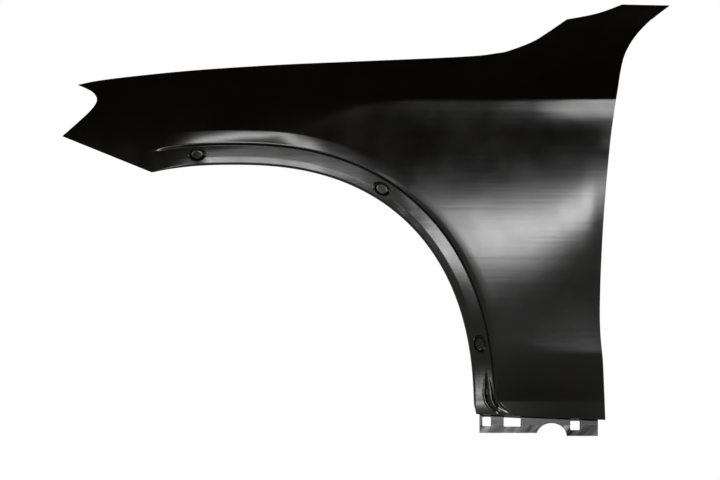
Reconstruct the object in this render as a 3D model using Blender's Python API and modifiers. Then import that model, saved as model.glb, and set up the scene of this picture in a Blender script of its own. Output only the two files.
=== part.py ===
"""Left front fender of a passenger car, pressed from one sheet of steel.

The panel stands as it does on the car. +X points to the rear, -Y is the outer side and +Z is up.
The form is worked out from the centre of the wheel arch. The finished panel is then moved so that
the origin lies on the inner face of the sill tab, where the panel is screwed to the body.
"""
import math

import bmesh
import bpy
from mathutils import Vector
from mathutils.geometry import interpolate_bezier

# Driving dimensions in metres
ARCH_REACH = 0.4066       # arch centre to the arch edge behind the wheel
ARCH_RISE = 0.4296        # arch centre to the top of the arch edge
NOSE_REACH = 0.2865       # arch centre forward to the tip below the headlamp
SIDE_REACH = 0.2204       # arch edge to the door edge at the sill
HORN_REACH = 0.1080       # door edge at the sill to the tip of the horn
CROWN_RISE = 0.1630       # top of the arch edge to the hood line above it
HORN_RISE = 0.1060        # hood line above the arch to the top of the horn
SHEET = 0.0008            # thickness of the steel

# Plan form: the panel wraps round the front of the car
WRAP_DEPTH = 0.1390       # how far the nose lies inboard of the door edge
WRAP_POWER = 2.2

# Heights of the bends in the side of the panel, from the bottom up
FOOT_CREASE = 0.0320
SILL_CREASE = 0.1110
WAIST = 0.1700
BELLY = 0.3060
CHEST = 0.4600
NECK = 0.5100
SHOULDER = 0.5384
RIDGE = 0.6220

# Half widths over which the bends turn
CREASE_SOFTNESS = 0.0015
SILL_SOFTNESS = 0.0250    # gained by the sill crease where it runs out forward
WAIST_SOFTNESS = 0.0450
BELLY_SOFTNESS = 0.1000
LIFT_SOFTNESS = 0.0300
CHEST_SOFTNESS = 0.0300
NECK_SOFTNESS = 0.0220
RIDGE_SOFTNESS = 0.0600
FRONT_SOFTNESS = 0.0900   # gained by the shoulder where it runs out forward

# Folded facet at the tip of the horn
FACET_LENGTH = 0.0235
FACET_TURN = 0.300

# Slopes, as metres inboard for each metre up
BOTTOM_SLOPE = -0.105
FOOT_TURN, SILL_TURN, BELLY_TURN, CHEST_TURN = -0.070, 0.060, 0.250, 0.015
NECK_TURN, SHOULDER_TURN, RIDGE_TURN = -0.030, 0.590, 0.370
SILL_REAR_TURN, NECK_REAR_TURN = 0.080, -0.110   # gained towards the door
BELLY_LIFT = 0.45         # metres that the belly rises for each metre to the rear
LIFT_SHARE = 0.29         # where it starts, from the arch edge to the door edge

# Wheel arch border, from the edge outward
ARCH_POWER = 2.4          # of the superellipse that the edge follows
HEM_WIDTH = 0.0030        # rounded edge
STRIP_WIDTH = 0.0093      # tilted strip beside it
BAND_WIDTH = 0.0187       # flat band that the cladding covers
STEP_WIDTH = 0.0060       # wall between the band and the lip
LIP_WIDTH = 0.0220        # rolled lip that ends in the skin
BAND_DEPTH = 0.0075       # band inboard of the lip
LIP_DEPTH = 0.0027        # lip edge inboard of the line of the skin
LIP_ROLL = 1.46           # 1 for an even roll, more where it turns soonest at the skin
STRIP_DEPTH = 0.0013      # strip edge inboard of the band
HEM_DEPTH = 0.0015        # edge inboard of the strip
BAND_TILT = 0.040         # of the band above the wheel

# Clip pockets pressed into the band
POCKET_LENGTH = 0.0290
POCKET_WIDTH = 0.0235
POCKET_DEPTH = 0.0045
POCKET_BEAD = 0.0007      # rim outboard of the band
POCKET_TURNS = (95.6, 57.6, 13.1)   # places round the arch, in degrees
POCKET_OUT_SHARE = 0.569  # of the way from the edge to the step
POCKET_SIDES = 20
# Rings of a pocket: share of its size, and depth inboard of the band
POCKET_RINGS = ((1.00, 0.0), (0.90, -POCKET_BEAD), (0.78, 0.0), (0.70, POCKET_DEPTH * 0.8),
                (0.60, POCKET_DEPTH))

# Drop-shaped groove at the foot of the band
GROOVE_OUT = 0.0205       # middle of its top, from the edge
GROOVE_LEAN = 0.0050      # how far its foot turns away from the edge
GROOVE_WIDTH = 0.0060
GROOVE_DEPTH = 0.0024
GROOVE_TURNS = (9.0, 3.1)  # its ends round the arch, in degrees

# Folded edges
FOLD_RADIUS = 0.0020
RETURN_DEPTH = 0.0130     # plain return flange
RELIEF = 0.0440           # most that stays unfolded at a sharp corner
HOOD_ROLL = 0.0050        # rolled top of the hood-side wall
HOOD_DROP = 0.0160        # wall that drops beside the hood
HOOD_LEDGE = 0.0280       # ledge that is bolted to the body
HOOD_BOLT = 0.0075        # bolt hole
HOOD_BOLT_SHARES = (0.10, 0.37, 0.64, 0.91)   # along the hood-side ledge

# Sill tab
TAB_SET = 0.0090          # tab inboard of the skin
TAB_BEND = 0.0026         # height over which it turns down
TAB_DROP_FRONT = 0.0218   # arch centre line down to its front edge
TAB_DROP_REAR = 0.0269
SLOT_ROUND = 0.0015       # corner radius of the slots
SLOT_HEIGHT = 0.0152
SLOT_WIDTH_SHARES = (0.92, 1.86, 1.02)        # of the height, from the front
SLOT_TOP_SHARES = (-0.33, -0.28, 0.11)        # of the height, arch centre line down to the top
SLOT_MIDDLE_SHARES = (0.058, 0.274, 0.805)    # along the tab
NOTCH_MIDDLE_SHARE = 0.6070
NOTCH_WIDTH = 0.0505
NOTCH_RISE = 0.0215
HOLD_SHARE = 0.4180       # place of the origin along the tab
HOLD_DROP = 0.0085

# Fineness of the mesh
CELL = 0.0215
EDGE_STEP = 0.0190
ARCH_STEPS = 50
SNAP = 0.0050             # a grid line takes the points of the edge that lie this near
OVERRUN = 0.0100

# Outline as shares: across, 0 is the arch centre, 1 the arch edge, 2 the door edge and 3 the horn
# tip, with -1 at the nose. Up, 0 is the arch centre, 1 the arch top, 2 the hood line, 3 the horn.
ARCH_FRONT_SHARE = 0.3325
NOSE_TIP_SHARE = (-0.999, 1.289)
LAMP_SHARES = (NOSE_TIP_SHARE, (-0.919, 1.413), (-0.843, 1.536), (-0.806, 1.614), (-0.795, 1.676),
               (-0.817, 1.739), (-0.861, 1.784), (-0.908, 1.819))
HOOD_SHARES = ((-0.908, 1.819), (-0.784, 1.863), (-0.549, 1.914), (-0.197, 1.973), (0.192, 2.040),
               (0.522, 2.095), (0.852, 2.149), (1.032, 2.186), (1.180, 2.228))
SWEEP_SHARES = ((1.180, 2.228), (1.254, 2.257), (1.437, 2.401), (1.559, 2.554), (1.704, 2.761))
COWL_SHARES = ((1.704, 2.761), (1.865, 2.821), (1.987, 2.888), (2.253, 2.996))
HORN_SHARES = ((2.253, 2.996), (2.997, 2.980))
DOOR_SHARES = ((2.997, 2.980), (2.689, 2.737), (2.456, 2.484), (2.306, 2.222), (2.238, 1.980),
               (2.191, 1.784), (2.129, 1.526), (2.059, 1.155), (1.987, 0.809), (1.964, 0.590),
               (1.956, 0.430), (1.961, 0.332), (1.979, 0.231), (1.989, 0.117), (1.998, 0.0))
FOOT_SHARE = (1.040, 0.022)
FOOT_ROUND_SHARE = 0.030  # of the arch rise, where the front foot corner is rounded


def place(across, up):
    """Turn a pair of outline shares into a point of the side view."""
    reaches = (0.0, ARCH_REACH, ARCH_REACH + SIDE_REACH, ARCH_REACH + SIDE_REACH + HORN_REACH)
    rises = (0.0, ARCH_RISE, ARCH_RISE + CROWN_RISE, ARCH_RISE + CROWN_RISE + HORN_RISE)

    def along(sizes, share):
        step = min(int(share), len(sizes) - 2)
        return sizes[step] + (share - step) * (sizes[step + 1] - sizes[step])

    x = across * NOSE_REACH if across < 0 else along(reaches, across)
    return Vector((x, 0.0, along(rises, max(up, 0.0))))


def smooth_run(shares, spacing=EDGE_STEP):
    """Draw one smooth curve through a row of outline points and step evenly along it."""
    points = [place(*share) for share in shares]
    path = [points[0]]
    for i in range(len(points) - 1):
        before, start, end = points[max(i - 1, 0)], points[i], points[i + 1]
        after = points[min(i + 2, len(points) - 1)]
        path += interpolate_bezier(start, start + (end - before) / 6, end - (after - start) / 6, end, 16)[1:]
    lengths = [0.0]
    for a, b in zip(path, path[1:]):
        lengths.append(lengths[-1] + (b - a).length)
    count = max(1, round(lengths[-1] / spacing))
    run, at = [], 0
    for k in range(count + 1):
        want = lengths[-1] * k / count
        while at < len(path) - 2 and lengths[at + 1] < want:
            at += 1
        share = (want - lengths[at]) / (lengths[at + 1] - lengths[at])
        run.append(path[at].lerp(path[at + 1], min(share, 1.0)))
    return run


def blend(value, low, high):
    """Rise smoothly from 0 at low to 1 at high."""
    share = min(max((value - low) / (high - low), 0.0), 1.0)
    return share * share * (3 - 2 * share)


def bend(distance, softness):
    """Go level, then turn to a slope of one across a soft line."""
    if distance <= -softness:
        return 0.0
    if distance >= softness:
        return distance
    return (distance + softness) ** 2 / (4 * softness)


DOOR_LINE = ARCH_REACH + SIDE_REACH
TAB_REAR = DOOR_LINE - RETURN_DEPTH


def skin_depth(x, z):
    """Depth of the outer skin inboard of the car's widest line, at a point of the side view."""
    wrap = max(DOOR_LINE - x, 0.0) / (DOOR_LINE + NOSE_REACH)
    rear = blend(x, ARCH_REACH, ARCH_REACH + 0.88 * SIDE_REACH)
    forward = 1 - blend(x, 0.0, DOOR_LINE)
    ahead = 1 - blend(x, ARCH_REACH, DOOR_LINE)
    lift = BELLY_LIFT * bend(x - ARCH_REACH - LIFT_SHARE * SIDE_REACH, LIFT_SOFTNESS)
    depth = WRAP_DEPTH * wrap ** WRAP_POWER + BOTTOM_SLOPE * z
    depth += FOOT_TURN * bend(z - FOOT_CREASE, CREASE_SOFTNESS)
    depth += (SILL_TURN + SILL_REAR_TURN * rear) * bend(z - SILL_CREASE, CREASE_SOFTNESS + SILL_SOFTNESS * ahead)
    depth -= SILL_REAR_TURN * rear * bend(z - WAIST, WAIST_SOFTNESS)
    depth += BELLY_TURN * bend(z - BELLY - lift, BELLY_SOFTNESS)
    depth += CHEST_TURN * bend(z - CHEST, CHEST_SOFTNESS)
    depth += (NECK_TURN + NECK_REAR_TURN * rear) * bend(z - NECK, NECK_SOFTNESS)
    depth += SHOULDER_TURN * bend(z - SHOULDER, CREASE_SOFTNESS + FRONT_SOFTNESS * forward)
    depth += RIDGE_TURN * bend(z - RIDGE, RIDGE_SOFTNESS)
    depth += FACET_TURN * bend(x - DOOR_LINE - HORN_REACH + FACET_LENGTH, CREASE_SOFTNESS)
    return depth


BAND_OUT = HEM_WIDTH + STRIP_WIDTH + BAND_WIDTH
BORDER = BAND_OUT + STEP_WIDTH + LIP_WIDTH
STEP_EASE = STEP_WIDTH / 4
TAB_START = HEM_WIDTH + STRIP_WIDTH * 0.56
# Rows of the arch border, by their distance from the edge
BORDER_OUTS = (BORDER, BORDER - LIP_WIDTH / 3, BORDER - LIP_WIDTH * 2 / 3, BAND_OUT + STEP_WIDTH,
               BAND_OUT + STEP_WIDTH - STEP_EASE, BAND_OUT + STEP_EASE, BAND_OUT, HEM_WIDTH + STRIP_WIDTH,
               TAB_START, HEM_WIDTH, 0.0)
BAND_TOP_ROW, TAB_ROW, HEM_ROW = 6, 8, 9   # counted from the row where the border leaves the skin


def arch_point(turn, out):
    """Point at an angle round the arch edge, moved out from the wheel."""
    cos, sin = math.cos(turn), math.sin(turn)
    x = ARCH_REACH * math.copysign(abs(cos) ** (2 / ARCH_POWER), cos)
    z = ARCH_RISE * abs(sin) ** (2 / ARCH_POWER)
    away = Vector((math.copysign(abs(x / ARCH_REACH) ** (ARCH_POWER - 1), x) / ARCH_REACH, 0.0,
                   (z / ARCH_RISE) ** (ARCH_POWER - 1) / ARCH_RISE)).normalized()
    return Vector((x, 0.0, z)) + out * away


def sill_height(x):
    """Height of the bottom edge of the skin."""
    foot, door = place(*FOOT_SHARE), place(*DOOR_SHARES[-1])
    return foot.z + (x - foot.x) * (door.z - foot.z) / (door.x - foot.x)


def foot_turn(out):
    """Angle round the arch at which a row of its border meets the bottom edge."""
    low, high = 0.0, math.pi / 4
    round_up = FOOT_ROUND_SHARE * ARCH_RISE * max(0.0, 1 - out / HEM_WIDTH)
    for _ in range(40):
        middle = (low + high) / 2
        point = arch_point(middle, out)
        if point.z < sill_height(point.x) + round_up:
            low = middle
        else:
            high = middle
    return high


FRONT_TURN = math.acos(-(ARCH_FRONT_SHARE ** (ARCH_POWER / 2)))
FRONT_FADE = math.radians(14)
FOOT_FADE = math.radians(3)
TILT_FADE = (math.radians(25), math.radians(60))


def border_depth(turn, out):
    """Depth of the arch border inboard of the line of the skin."""
    rolled = min((BORDER - out) / LIP_WIDTH, 1.0)
    lip = LIP_DEPTH * rolled ** 2 * (LIP_ROLL + (1 - LIP_ROLL) * rolled)
    band = BAND_DEPTH * blend(BAND_OUT + STEP_WIDTH - out, STEP_EASE, STEP_WIDTH - STEP_EASE)
    band += BAND_TILT * max(BAND_OUT - out, 0.0) * blend(turn, *TILT_FADE)
    strip = STRIP_DEPTH * max((HEM_WIDTH + STRIP_WIDTH - out) / STRIP_WIDTH, 0.0)
    hem = HEM_DEPTH * max(HEM_WIDTH - out, 0.0) / HEM_WIDTH
    return lip + band + strip + hem


def border_point(share, out, pressed=0.0):
    """Point of the arch border: a share of the way from the front to the foot, and out from the edge."""
    end = foot_turn(out)
    turn = FRONT_TURN + share * (end - FRONT_TURN)
    point = arch_point(turn, out)
    shown = blend(FRONT_TURN - turn, 0.0, FRONT_FADE) * blend(turn - end, -FOOT_FADE, FOOT_FADE)
    point.y = skin_depth(point.x, point.z) + border_depth(turn, out) * shown + pressed
    return point


def share_of_turn(turn, out):
    """Share of the way round the border at an angle."""
    return (FRONT_TURN - turn) / (FRONT_TURN - foot_turn(out))


BACK = Vector((0.0, 1.0, 0.0))
DOWN = Vector((0.0, 0.0, -1.0))


def fold(bm, run, new_points):
    """Extrude a run of edge points and put the new points in their places."""
    edges = [bm.edges.get((a, b)) for a, b in zip(run, run[1:])]
    made = bmesh.ops.extrude_edge_only(bm, edges=edges)["geom"]
    fresh = {item for item in made if isinstance(item, bmesh.types.BMVert)}
    new_run = []
    for vert, point in zip(run, new_points):
        twin = next(e.other_vert(vert) for e in vert.link_edges if e.other_vert(vert) in fresh)
        twin.co = point
        new_run.append(twin)
    return new_run


def walk_edge(start, end):
    """List the points along the open edge of the sheet, from one to another."""
    run = [start]
    while run[-1] is not end:
        loop = next(loop for loop in run[-1].link_loops if loop.edge.is_boundary)
        run.append(loop.link_loop_next.vert)
    return run


def relieved(run):
    """Leave out the points of a run that lie near its ends."""
    first, last = run[0].co, run[-1].co
    relief = min(RELIEF, (last - first).length / 4)
    return [vert for vert in run if min((vert.co - first).length, (vert.co - last).length) > relief]


def return_flange(bm, run):
    """Fold a run of the edge square inward."""
    run = fold(bm, run, [vert.co + FOLD_RADIUS * BACK for vert in run])
    fold(bm, run, [vert.co + (RETURN_DEPTH - FOLD_RADIUS) * BACK for vert in run])


def straight_run(start, end):
    """Step evenly along a straight edge."""
    count = max(1, round((end - start).length / EDGE_STEP))
    return [start.lerp(end, k / count) for k in range(count + 1)]


def door_run():
    """Door edge from the sill up, with a point at the height of each crease."""
    run = smooth_run(DOOR_SHARES)[::-1]
    for height in (FOOT_CREASE, SILL_CREASE, SHOULDER):
        k = min(range(1, len(run) - 1), key=lambda k: abs(run[k].z - height))
        other = run[k + 1] if height > run[k].z else run[k - 1]
        run[k] = run[k].lerp(other, (height - run[k].z) / (other.z - run[k].z))
    return run


def lay_out_panel(bm):
    """Cut the outline of the skin as one flat face and give its corners back by name."""
    nose, door_foot = place(*NOSE_TIP_SHARE), place(*DOOR_SHARES[-1])
    section = [border_point(0.0, out) for out in BORDER_OUTS[::-1]]
    lip = [border_point(k / ARCH_STEPS, BORDER) for k in range(ARCH_STEPS + 1)]
    tab_rear = Vector((TAB_REAR, 0.0, sill_height(TAB_REAR)))
    runs = {
        "door_foot": door_run(),
        "horn_tip": smooth_run(HORN_SHARES)[::-1],
        "horn_top": smooth_run(COWL_SHARES)[::-1],
        "cowl": smooth_run(SWEEP_SHARES)[::-1],
        "sweep": smooth_run(HOOD_SHARES)[::-1],
        "hood_front": smooth_run(LAMP_SHARES, EDGE_STEP / 2)[::-1],
        "nose": straight_run(nose, section[0]),
        "arch_front": section,
        "lip_front": lip,
        "lip_foot": straight_run(lip[-1], tab_rear),
        "tab_rear": straight_run(tab_rear, door_foot),
    }
    outline, corners = [], {}
    for name, points in runs.items():
        corners[name] = len(outline)
        outline += [bm.verts.new((p.x, 0.0, p.z)) for p in points[:-1]]
    bm.faces.new(outline)
    return {name: outline[index] for name, index in corners.items()}


def press_border(bm, corners):
    """Draw the rows of the wheel arch border out of the edge of the skin."""
    section = walk_edge(corners["arch_front"], corners["lip_front"])[::-1]
    run = walk_edge(corners["lip_front"], corners["lip_foot"])
    shares = [k / ARCH_STEPS for k in range(ARCH_STEPS + 1)]
    rows = [run]
    for out in BORDER_OUTS[1:]:
        run = fold(bm, run, [border_point(share, out) for share in shares])
        rows.append(run)
    bmesh.ops.weld_verts(bm, targetmap={row[0]: vert for row, vert in zip(rows[1:], section[1:])})
    for row, vert in zip(rows[1:], section[1:]):
        row[0] = vert
    return rows


def cut_into_cells(bm, skin):
    """Divide the flat skin by a grid of lines, with one on each crease."""
    low_x, high_x = place(*NOSE_TIP_SHARE).x, place(*HORN_SHARES[-1]).x
    columns = round((high_x - low_x) / CELL)
    cuts = [(low_x + k * (high_x - low_x) / columns, None) for k in range(1, columns)]
    low = place(*DOOR_SHARES[-1]).z
    for high in (FOOT_CREASE, SILL_CREASE, SHOULDER, place(*HORN_SHARES[0]).z):
        rows = max(1, round((high - low) / CELL))
        cuts += [(None, low + (k + 1) * (high - low) / rows) for k in range(rows)]
        low = high
    skin = [skin]
    for x, z in cuts:
        edges = {edge for face in skin for edge in face.edges}
        verts = {vert for face in skin for vert in face.verts}
        across = Vector((0.0, 0.0, 1.0)) if x is None else Vector((1.0, 0.0, 0.0))
        made = bmesh.ops.bisect_plane(bm, geom=skin + list(edges) + list(verts), dist=SNAP,
                                      plane_co=(x or 0.0, 0.0, z or 0.0), plane_no=across)["geom"]
        skin = [item for item in made if isinstance(item, bmesh.types.BMFace)]
    for vert in {vert for face in skin for vert in face.verts}:
        vert.co.y = skin_depth(vert.co.x, vert.co.z)


def press_shape(bm, faces, loops):
    """Take faces out of the sheet and fill the gap with a row of loops, from the rim to the floor."""
    rim = {edge for face in faces for edge in face.edges
           if any(other not in faces for other in edge.link_faces)}
    bmesh.ops.delete(bm, geom=faces, context="FACES")
    rings = [[bm.verts.new(point) for point in loop] for loop in loops]
    count = len(loops[0])
    edges = [bm.edges.new((rings[0][k], rings[0][(k + 1) % count])) for k in range(count)]
    bmesh.ops.triangle_fill(bm, edges=list(rim) + edges, use_beauty=True, normal=(0.0, -1.0, 0.0))
    for outer, inner in zip(rings, rings[1:]):
        for k in range(count):
            after = (k + 1) % count
            bm.faces.new((outer[k], outer[after], inner[after], inner[k]))
    bm.faces.new(rings[-1])


def band_faces(rows, low_share, high_share):
    """Faces of the band and strip between two shares of the length of the arch border."""
    low, high = math.floor(low_share * ARCH_STEPS), math.ceil(high_share * ARCH_STEPS)
    corners = {vert for row in rows[BAND_TOP_ROW:HEM_ROW + 1] for vert in row[low:high + 1]}
    faces = {face for vert in corners for face in vert.link_faces}
    return [face for face in faces if all(vert in corners for vert in face.verts)]


def share_pace(share, out):
    """Share of the border's length that one metre along it takes."""
    step = 1 / ARCH_STEPS
    ahead, behind = border_point(share + step, out), border_point(share - step, out)
    return 2 * step / (ahead - behind).length


def press_pocket(bm, rows, turn):
    """Press one oval clip pocket, with a bead round it, into the band."""
    middle = POCKET_OUT_SHARE * BAND_OUT
    share = share_of_turn(math.radians(turn), middle)
    pace = share_pace(share, middle)
    loops = []
    for size, depth in POCKET_RINGS:
        loop = []
        for k in range(POCKET_SIDES):
            angle = math.tau * k / POCKET_SIDES
            out = middle + size * POCKET_WIDTH / 2 * math.sin(angle)
            along = share + size * POCKET_LENGTH / 2 * math.cos(angle) * pace
            loop.append(border_point(along, out, depth))
        loops.append(loop)
    reach = POCKET_LENGTH * 0.56 * pace
    press_shape(bm, band_faces(rows, share - reach, share + reach), loops)


def press_groove(bm, rows):
    """Press the drop-shaped groove into the foot of the band."""
    top, foot = (share_of_turn(math.radians(turn), GROOVE_OUT) for turn in GROOVE_TURNS)
    loops = []
    for size, depth in ((1.0, 0.0), (0.4, GROOVE_DEPTH)):
        loop = []
        for k in range(POCKET_SIDES):
            angle = math.tau * k / POCKET_SIDES
            down = (1 + size * math.cos(angle)) / 2
            out = GROOVE_OUT + GROOVE_LEAN * down ** 4
            out += size * GROOVE_WIDTH / 2 * math.sin(angle) * (1 + down) / 2
            loop.append(border_point(top + down * (foot - top), out, depth))
        loops.append(loop)
    press_shape(bm, band_faces(rows, top - 0.3 / ARCH_STEPS, foot), loops)


def fold_hood_side(bm, run):
    """Roll the hood edge over, drop it beside the hood and turn it in as a ledge with flat pads."""
    start = [vert.co.copy() for vert in run]
    heights = [p.z - HOOD_DROP for p in start]
    pads = [round(share * (len(run) - 1)) for share in HOOD_BOLT_SHARES]
    for middle in pads:
        heights[middle - 1:middle + 2] = [start[middle].z - HOOD_DROP] * 3
    run = fold(bm, run, [p + HOOD_ROLL * (BACK / 2) for p in start])
    run = fold(bm, run, [p + HOOD_ROLL * (BACK + DOWN / 2) for p in start])
    wall = [Vector((p.x, p.y + HOOD_ROLL, z)) for p, z in zip(start, heights)]
    run = fold(bm, run, wall)
    fold(bm, run, [p + HOOD_LEDGE * BACK for p in wall])
    return [wall[k] + HOOD_LEDGE * 0.55 * BACK for k in pads]


def fold_tab(bm, run):
    """Turn the bottom edge inboard and then down as the flat sill tab."""
    start = [vert.co.copy() for vert in run]
    face = tab_point(0.0, 0.0).y
    notch = tab_point(NOTCH_MIDDLE_SHARE, 0.0).x
    drops = [TAB_DROP_FRONT if p.x < notch else TAB_DROP_REAR for p in start]
    run = fold(bm, run, [p + FOLD_RADIUS * (BACK + DOWN / 3) for p in start])
    run = fold(bm, run, [Vector((p.x, face - FOLD_RADIUS, p.z - TAB_BEND / 2)) for p in start])
    run = fold(bm, run, [Vector((p.x, face, p.z - TAB_BEND)) for p in start])
    fold(bm, run, [Vector((p.x, face, -drop)) for p, drop in zip(start, drops)])


def tab_point(share, drop):
    """Point on the outer face of the tab."""
    foot = place(*FOOT_SHARE)
    return Vector((foot.x + share * (TAB_REAR - foot.x), skin_depth(foot.x, foot.z) + TAB_SET, -drop))


def build_sheet():
    """Press the whole panel as one open sheet."""
    bm = bmesh.new()
    corners = lay_out_panel(bm)
    skin = bm.faces[:][0]
    rows = press_border(bm, corners)
    cut_into_cells(bm, skin)
    for turn in POCKET_TURNS:
        press_pocket(bm, rows, turn)
    press_groove(bm, rows)
    return_flange(bm, rows[-1][1:-1])
    fold_tab(bm, walk_edge(rows[TAB_ROW][-1], corners["tab_rear"]))
    for start, end in (("door_foot", "horn_tip"), ("horn_top", "cowl"), ("cowl", "sweep"),
                       ("hood_front", "nose"), ("nose", "arch_front")):
        return_flange(bm, relieved(walk_edge(corners[start], corners[end])))
    pads = fold_hood_side(bm, relieved(walk_edge(corners["sweep"], corners["hood_front"])))
    bmesh.ops.triangulate(bm, faces=[face for face in bm.faces if len(face.verts) > 4])
    mesh = bpy.data.meshes.new("fender_panel")
    bm.to_mesh(mesh)
    bm.free()
    return bpy.data.objects.new("fender_panel", mesh), pads


def tab_cutters():
    """Slots and half-round notch of the sill tab."""
    cutters = []
    for middle, top, width in zip(SLOT_MIDDLE_SHARES, SLOT_TOP_SHARES, SLOT_WIDTH_SHARES):
        bpy.ops.mesh.primitive_cube_add(size=1.0, location=tab_point(middle, (top + 0.5) * SLOT_HEIGHT))
        slot = bpy.context.object
        slot.scale = (width * SLOT_HEIGHT, 2 * OVERRUN, SLOT_HEIGHT)
        bpy.ops.object.transform_apply(location=False, rotation=False, scale=True)
        rounding = slot.modifiers.new("corners", "BEVEL")
        rounding.width, rounding.segments, rounding.limit_method = SLOT_ROUND, 2, "ANGLE"
        cutters.append(slot)
    bpy.ops.mesh.primitive_cylinder_add(vertices=28, radius=0.5, depth=1.0, rotation=(math.pi / 2, 0.0, 0.0),
                                        location=tab_point(NOTCH_MIDDLE_SHARE, TAB_DROP_REAR))
    notch = bpy.context.object
    notch.scale = (NOTCH_WIDTH, 2 * NOTCH_RISE, 2 * OVERRUN)
    bpy.ops.object.transform_apply(location=False, rotation=True, scale=True)
    cutters.append(notch)
    return cutters


def bolt_cutters(pads):
    """Bolt holes through the flat pads of the ledge beside the hood."""
    cutters = []
    for point in pads:
        bpy.ops.mesh.primitive_cylinder_add(vertices=16, radius=HOOD_BOLT / 2, depth=2 * OVERRUN,
                                            location=point)
        cutters.append(bpy.context.object)
    return cutters


def steel():
    """Black electro-dip primer on deep-drawn steel."""
    material = bpy.data.materials.new("black_primed_steel")
    material.use_nodes = True
    shader = material.node_tree.nodes["Principled BSDF"]
    shader.inputs["Base Color"].default_value = (0.006, 0.006, 0.007, 1.0)
    shader.inputs["Metallic"].default_value = 0.0
    shader.inputs["Roughness"].default_value = 0.32
    return material


def link(objects, name):
    """Put objects in a collection of their own."""
    collection = bpy.data.collections.new(name)
    bpy.context.scene.collection.children.link(collection)
    for obj in objects:
        for other in obj.users_collection:
            other.objects.unlink(obj)
        collection.objects.link(obj)
    return collection


def main():
    for obj in list(bpy.data.objects):
        bpy.data.objects.remove(obj)
    panel, pads = build_sheet()
    cutters = tab_cutters() + bolt_cutters(pads)
    origin = tab_point(HOLD_SHARE, HOLD_DROP) + SHEET * BACK
    for obj in [panel] + cutters:
        obj.location -= origin
    for obj in cutters:
        obj.hide_render = True
        obj.display_type = "WIRE"
    link([panel], "car_fender")
    cutter_collection = link(cutters, "cutters")

    wall = panel.modifiers.new("sheet", "SOLIDIFY")
    wall.thickness, wall.offset, wall.use_even_offset = SHEET, -1.0, True
    holes = panel.modifiers.new("holes", "BOOLEAN")
    holes.operand_type, holes.collection, holes.solver = "COLLECTION", cutter_collection, "EXACT"
    panel.data.materials.append(steel())
    panel.data.shade_smooth()
    panel.data.set_sharp_from_angle(angle=math.radians(30))


main()
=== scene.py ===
import math

import bmesh
import bpy
from mathutils import Matrix, Vector
from mathutils.geometry import interpolate_bezier


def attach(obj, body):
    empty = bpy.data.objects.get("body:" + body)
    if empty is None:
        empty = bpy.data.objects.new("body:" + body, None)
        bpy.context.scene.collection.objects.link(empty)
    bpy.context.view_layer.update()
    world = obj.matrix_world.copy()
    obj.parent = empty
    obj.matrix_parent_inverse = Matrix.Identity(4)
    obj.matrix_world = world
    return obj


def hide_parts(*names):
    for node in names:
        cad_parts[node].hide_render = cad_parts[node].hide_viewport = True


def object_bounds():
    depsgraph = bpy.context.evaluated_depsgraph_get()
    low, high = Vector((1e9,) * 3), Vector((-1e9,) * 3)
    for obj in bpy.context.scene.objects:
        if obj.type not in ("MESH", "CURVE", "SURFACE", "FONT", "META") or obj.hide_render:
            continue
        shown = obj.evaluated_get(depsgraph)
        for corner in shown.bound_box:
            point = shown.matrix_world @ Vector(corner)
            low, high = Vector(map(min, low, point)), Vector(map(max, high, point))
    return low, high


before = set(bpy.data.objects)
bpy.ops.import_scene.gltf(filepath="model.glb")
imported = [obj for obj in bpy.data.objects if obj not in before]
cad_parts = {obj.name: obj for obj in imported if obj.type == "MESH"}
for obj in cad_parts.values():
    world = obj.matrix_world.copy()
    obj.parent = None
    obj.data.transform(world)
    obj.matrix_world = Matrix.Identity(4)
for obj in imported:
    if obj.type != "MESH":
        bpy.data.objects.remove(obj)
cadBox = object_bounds()
print("frame loaded")

# form of the panel in metres, worked out from the centre of the wheel arch
form = {
    "rowOffset": (-0.49842, -0.01437, 0.0085),   # arch centre to the part's origin
    "archReach": 0.4066, "archRise": 0.4296, "noseReach": 0.2865, "sideReach": 0.2204,
    "hornReach": 0.1080, "crownRise": 0.1630, "hornRise": 0.1060,
    "wrapDepth": 0.1390, "wrapPower": 2.2,
    "facetLength": 0.0235, "facetTurn": 0.300,   # folded facet at the tip of the horn
    # heights of the bends in the side, their slopes in metres inboard for each metre up, and half widths
    "footCrease": 0.0320, "sillCrease": 0.1110, "waist": 0.1700, "belly": 0.3060,
    "chest": 0.4600, "neck": 0.5035, "shoulder": 0.5404, "ridge": 0.6220,
    "bottomSlope": -0.105, "footTurn": -0.070, "sillTurn": 0.060, "bellyTurn": 0.250,
    "chestTurn": 0.015, "neckTurn": -0.055, "shoulderTurn": 0.590, "ridgeTurn": 0.370,
    "creaseSoft": 0.0015, "sillSoft": 0.0250, "waistSoft": 0.0450, "bellySoft": 0.1000,
    "liftSoft": 0.0300, "chestSoft": 0.0300, "neckSoft": 0.0220, "ridgeSoft": 0.0600,
    # gained towards the door, complete at this share of the side reach
    "sillRearTurn": 0.080, "neckRearTurn": -0.125, "rearShare": 0.88,
    "bellyLift": 0.45, "liftShare": 0.29,               # the belly rises to the rear
    "bellyEase": 0.0450, "easeReach": (0.490, 0.600),   # and turns more slowly ahead of the door
    "frontSoft": 0.0900, "frontReach": (-0.05, 0.30),   # the shoulder runs out softly forward of this
    # the skin crowns at the door edge, between these heights
    "crownStart": 0.599, "crownTurn": 0.055, "crownSoft": 0.012, "crownHeights": (0.24, 0.30, 0.45, 0.50),
    "sillFlare": 0.060, "flareReach": (0.44, 0.57),     # below the foot crease, ahead of the door
}
doorLine = form["archReach"] + form["sideReach"]

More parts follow.
